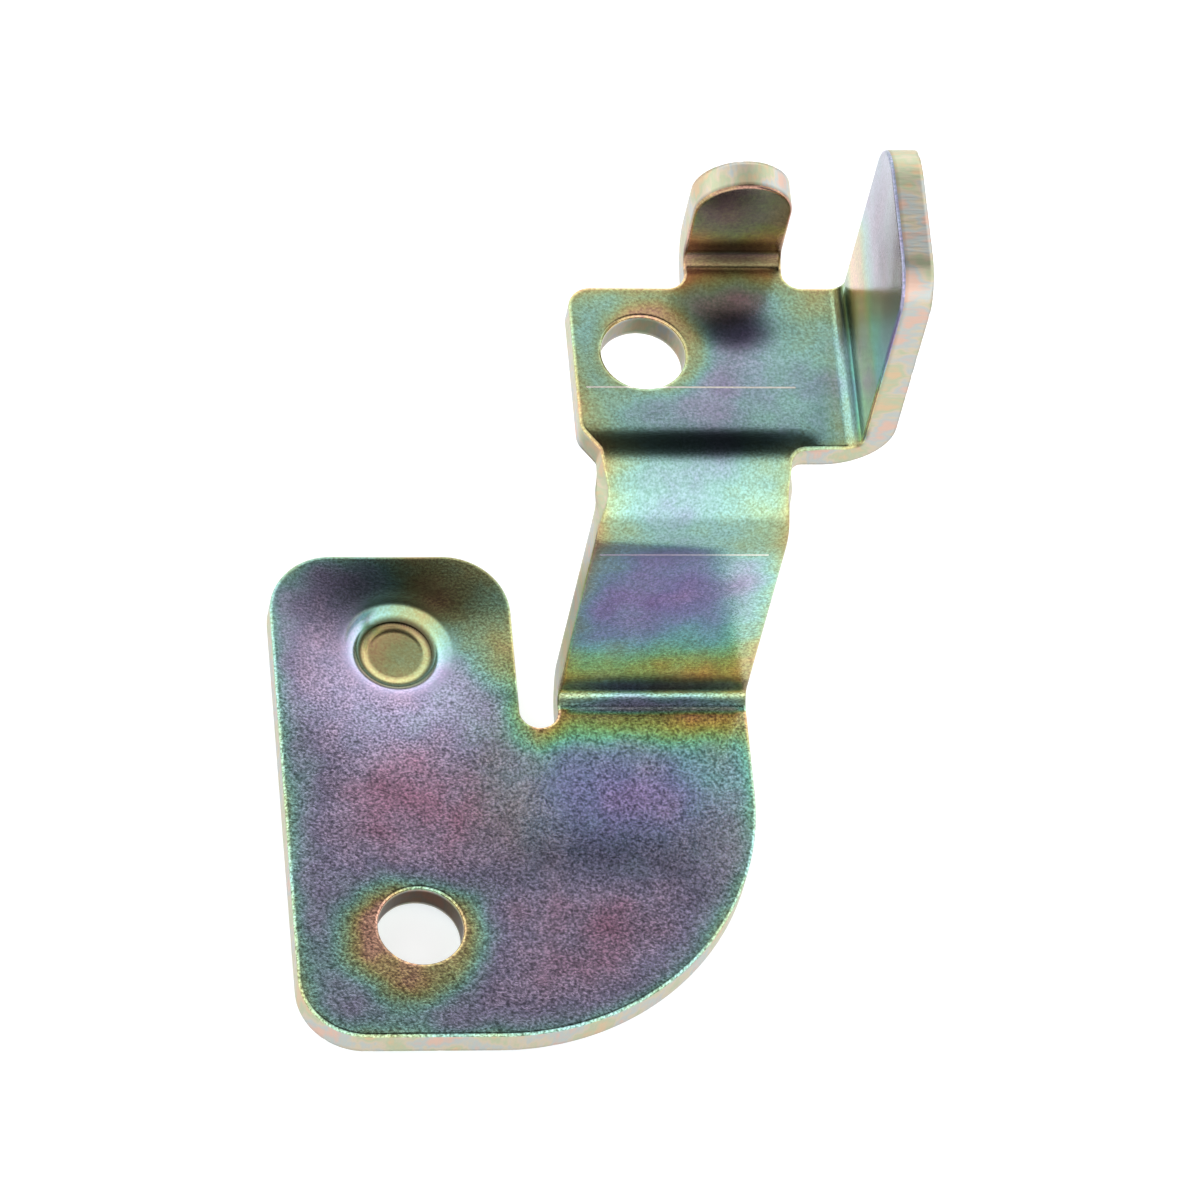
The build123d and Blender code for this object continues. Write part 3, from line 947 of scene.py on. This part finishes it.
# %% [markdown]
# Handling rubs the film off in two straight scratches across the strip, where it was slid on the
# press's bed, and the bare zinc there catches the light.  Bright flecks of the same colour are
# painted along the rolled rim as glints.  A scratch is where the place on the blank is near its
# line and between its ends.

# %% Scratches
SCRATCHES = [(72.1, 14.6, 35.0), (54.0, 16.1, 32.6)]    # (how far along the blank, from a, to a)
SCRATCH_HALF = 0.09                         # half its width, in mm

place_a, place_b, place_up = (add_node(tree, SPLIT, [blank_mm], axis) for axis in "XYZ")
scratched = 0.0
for scratch_b, start_a, end_a in SCRATCHES:
    centre_a, half_a = (start_a + end_a) / 2, (end_a - start_a) / 2
    aside = add_node(tree, MATH, [place_b, scratch_b, SCRATCH_HALF], operation="COMPARE")
    along = add_node(tree, MATH, [place_a, centre_a, half_a], operation="COMPARE")
    here = add_node(tree, MATH, [aside, along], operation="MULTIPLY")
    scratched = add_node(tree, MATH, [here, scratched], operation="MAXIMUM")
on_upper = add_node(tree, MATH, [place_up, SHEET / 2], operation="GREATER_THAN")
scratch = add_node(tree, MATH, [scratched, on_upper], operation="MULTIPLY")
print("scratches:", len(SCRATCHES))

# %% Painted glints along the rim
GLINT_MM = 1.6
GLINT_FROM, GLINT_FULL = 0.5, 0.56            # the higher, the fewer painted glints

# painted glints: noise near the rim picks flecks that take the bright zinc colour
glints = add_node(tree, NOISE, {"Vector": blank_mm, "Scale": 1 / GLINT_MM, "Detail": 3.0})
glint_at_rim = add_node(tree, MATH, [glints, rim_here], operation="MULTIPLY")
rim_glint = add_node(tree, MAP_RANGE, {"Value": glint_at_rim, "From Min": GLINT_FROM, "From Max": GLINT_FULL})
# the scratches and the painted glints both take the bright zinc colour
bare_and_glint = add_node(tree, MATH, [rim_glint, scratch], operation="MAXIMUM")
colour = add_node(tree, MIX, {FACTOR: bare_and_glint, FIRST: film_with_shade, SECOND: linear(BARE_AND_GLINT)}, MIXED,
                  data_type="RGBA")
print("chips of about", GLINT_MM, "mm")

# %% [markdown]
# Relief too fine for the mesh is a bump: the waves, then the crystals, and on the cut edge the
# punch's streaks.  Rolled and plated faces are nearly a mirror, and the sheared edge is not.  It
# is all bare metal to the shader, so Metallic is 1 and the IOR keeps its default.

# %% The relief and the shader
WAVE_HIGH, GRAIN_HIGH, STREAK_HIGH = 0.12, 0.02, 0.03   # in mm
GRAIN_STRENGTH = 0.6
FACE_ROUGH, CUT_ROUGH = 0.2, 0.42

wavy = add_node(tree, BUMP, {"Height": waves, "Strength": 1.0, "Distance": WAVE_HIGH * MM})
grain_bump = add_node(tree, MATH, [grainy, GRAIN_STRENGTH], operation="MULTIPLY")
fine = add_node(tree, BUMP, {"Height": grain, "Strength": grain_bump,
                             "Distance": GRAIN_HIGH * MM, "Normal": wavy})
streaky = add_node(tree, BUMP, {"Height": streaks, "Strength": cut_here,
                                "Distance": STREAK_HIGH * MM, "Normal": fine})
rough = add_node(tree, MAP_RANGE, {"Value": cut_here, "To Min": FACE_ROUGH, "To Max": CUT_ROUGH})
surface = add_node(tree, "ShaderNodeBsdfPrincipled",
                   {"Base Color": colour, "Metallic": 1.0, "Roughness": rough, "Normal": streaky})
add_node(tree, "ShaderNodeOutputMaterial", [surface])
print("finish:", len(tree.nodes), "nodes")

# %% [markdown]
# ## Camera, floor and light
#
# The camera looks down at the bracket from the front left, from about a metre away through a long
# lens, so that parallel edges stay nearly parallel.  `BEARING` is how far its look is turned from
# straight back, `DOWN` is how far it looks down, and `ROLL` is how far it is tipped sideways.

# %% Camera
BEARING, DOWN, ROLL = (math.radians(angle) for angle in (16.803, 57.278, 14.234))
AIM = Vector((15.441, 19.864, 30.868)) * MM
DISTANCE = 969.0 * MM
LENS, SENSOR = 303.57, 36.0

look = Vector((math.sin(BEARING) * math.cos(DOWN), math.cos(BEARING) * math.cos(DOWN), -math.sin(DOWN)))
camera_data = bpy.data.cameras.new("camera")
camera_data.lens, camera_data.sensor_width = LENS, SENSOR
camera = bpy.data.objects.new("camera", camera_data)
bpy.context.scene.collection.objects.link(camera)
camera.matrix_world = (
    Matrix.Translation(AIM - look * DISTANCE)
    @ look.to_track_quat("-Z", "Y").to_matrix().to_4x4()
    @ Matrix.Rotation(ROLL, 4, "Z")
)
bpy.context.scene.camera = camera
print("camera at", [round(value, 3) for value in camera.matrix_world.translation], "m")

# %% [markdown]
# The floor is a sheet of matt white paper on a light table.  Paper scatters light evenly, so it
# gives no highlight, and the little light that comes through it keeps the shade in the holes and
# under the bracket pale.

# %% Floor
FLOOR_HALF = 3.0                            # metres
PAPER, PAPER_ROUGH = "#d4d4d4", 0.9
WHITE = "#ffffff"
TABLE_LIGHT = 0.5

floor_mesh = bpy.data.meshes.new("floor")
floor_z = low[2] * MM
corners = [(-1, -1), (1, -1), (1, 1), (-1, 1)]
floor_mesh.from_pydata([(x * FLOOR_HALF, y * FLOOR_HALF, floor_z) for x, y in corners], [], [(0, 1, 2, 3)])
floor = bpy.data.objects.new("floor", floor_mesh)
bpy.context.scene.collection.objects.link(floor)
paper = bpy.data.materials.new("white_paper")
paper.use_nodes = True
sockets = paper.node_tree.nodes["Principled BSDF"].inputs
sockets["Base Color"].default_value = linear(PAPER)
sockets["Roughness"].default_value = PAPER_ROUGH
sockets["Emission Color"].default_value = linear(WHITE)
sockets["Emission Strength"].default_value = TABLE_LIGHT
floor_mesh.materials.append(paper)
print("floor at", round(floor_z, 4), "m")

# %% [markdown]
# A shiny bent sheet shows mostly what stands around it, so the light is a white tent as product
# studios use: bright walls that are brightest low down, and a dark opening overhead.  The foot
# and the shelf mirror the rim of that opening, which is why the smallest unevenness shows on
# them, and the crest sweeps across the whole tent, from a bright wall to the dark opening.

# %% The tent's walls and its opening
WALL_LIGHT, OPENING_LIGHT = 1.12, 0.02
OPENING_TILT, OPENING_SIDE = 101.0, 6.0     # degrees from the front horizon, and to the right
OPENING_DARK, OPENING_CLEAR = 15.0, 28.0    # degrees from its middle: all dark, and all wall

world = bpy.data.worlds.new("light_tent")
world.use_nodes = True
bpy.context.scene.world = world
tent = world.node_tree
tent.nodes.clear()
tilt, side = math.radians(OPENING_TILT), math.radians(OPENING_SIDE)
opening = Vector((math.sin(side), -math.cos(tilt) * math.cos(side), math.sin(tilt) * math.cos(side)))
direction = add_node(tent, "ShaderNodeTexCoord", output="Generated")
toward = add_node(tent, VECTOR, [direction, opening], output="Value", operation="DOT_PRODUCT")
away = add_node(tent, MATH, [toward], operation="ARCCOSINE")
wall = add_node(tent, MAP_RANGE,
                {"Value": away, "From Min": math.radians(OPENING_DARK),
                 "From Max": math.radians(OPENING_CLEAR), "To Min": OPENING_LIGHT, "To Max": WALL_LIGHT},
                interpolation_type="SMOOTHSTEP")
print("the opening lies towards", [round(value, 2) for value in opening])

# %% The bright horizon, and the exposure
HORIZON_LIGHT = 0.95                        # what is added at the horizon
HORIZON_TOP = 0.7                           # how high that reaches, as the direction's z
EXPOSURE = 0.2

height = add_node(tent, SPLIT, [direction], "Z")
low_light = add_node(tent, MAP_RANGE, {"Value": height, "From Min": 0.0, "From Max": HORIZON_TOP,
                                       "To Min": HORIZON_LIGHT, "To Max": 0.0})
strength = add_node(tent, MATH, [wall, low_light], operation="ADD")
glow = add_node(tent, "ShaderNodeBackground", {"Color": linear(WHITE), "Strength": strength})
add_node(tent, "ShaderNodeOutputWorld", [glow])
bpy.context.scene.view_settings.view_transform = "Standard"
bpy.context.scene.view_settings.exposure = EXPOSURE
print("tent:", len(tent.nodes), "nodes")
